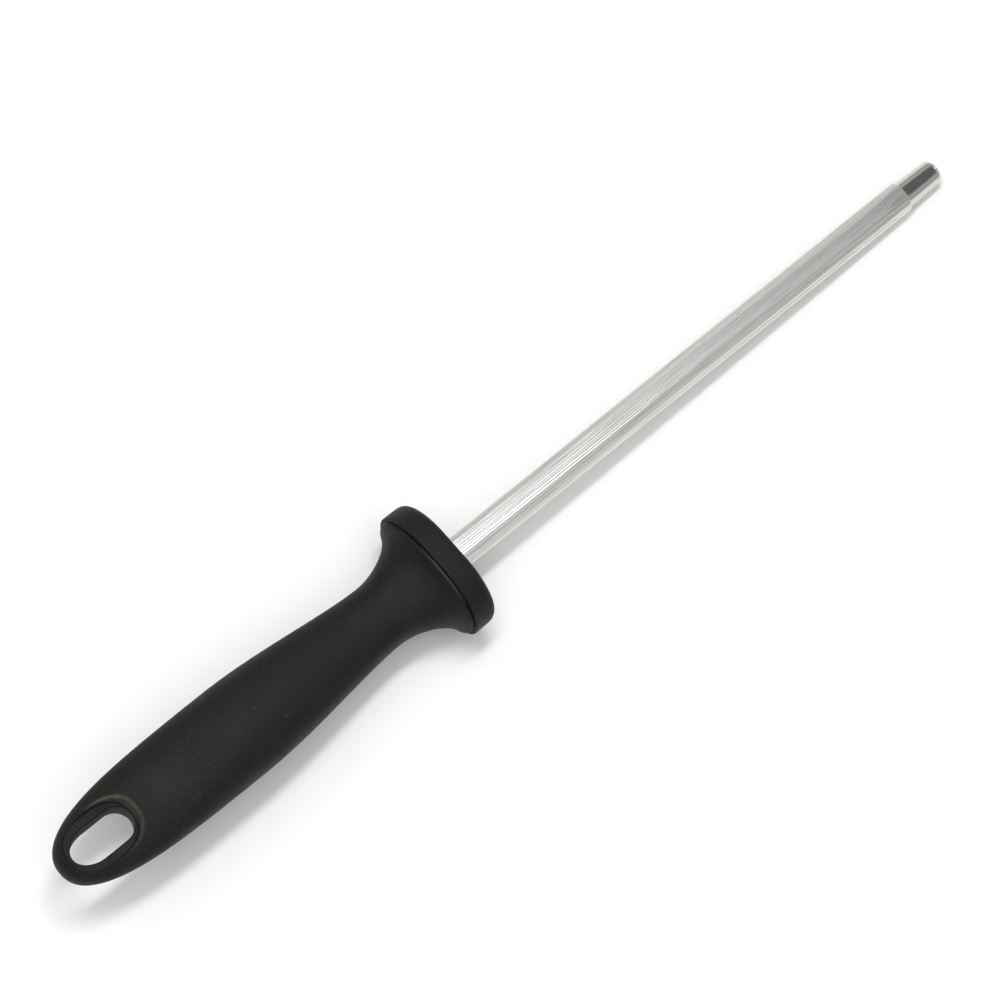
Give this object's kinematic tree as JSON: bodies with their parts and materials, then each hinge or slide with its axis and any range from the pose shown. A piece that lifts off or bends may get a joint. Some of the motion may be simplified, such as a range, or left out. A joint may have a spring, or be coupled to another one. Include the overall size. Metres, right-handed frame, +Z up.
{
  "type": "knife sharpening steel",
  "caption": "Hand-held sharpening steel: ribbed round steel bar with a polished nose, oval guard and moulded grip with a hanging eye.",
  "frame": {"origin": "middle of the tool's length, below the bar's axis, level with the guard's flat underside", "axes": "+X along the bar from the grip to the nose; +Y across the grip's width; +Z up, along the hanging eye's axis"},
  "size_m": [0.35, 0.0436, 0.033],
  "materials": {
    "chromed_steel": "satin, fine lengthwise ribs, polished nose",
    "black_plastic": "matt with a fine moulded grain",
    "core_plastic": "plain moulded, not seen"
  },
  "bodies": {
    "root": {"sharpening_rod": "chromed_steel", "guard": "black_plastic", "grip": "black_plastic", "tang_core": "core_plastic"}
  },
  "joints": []
}
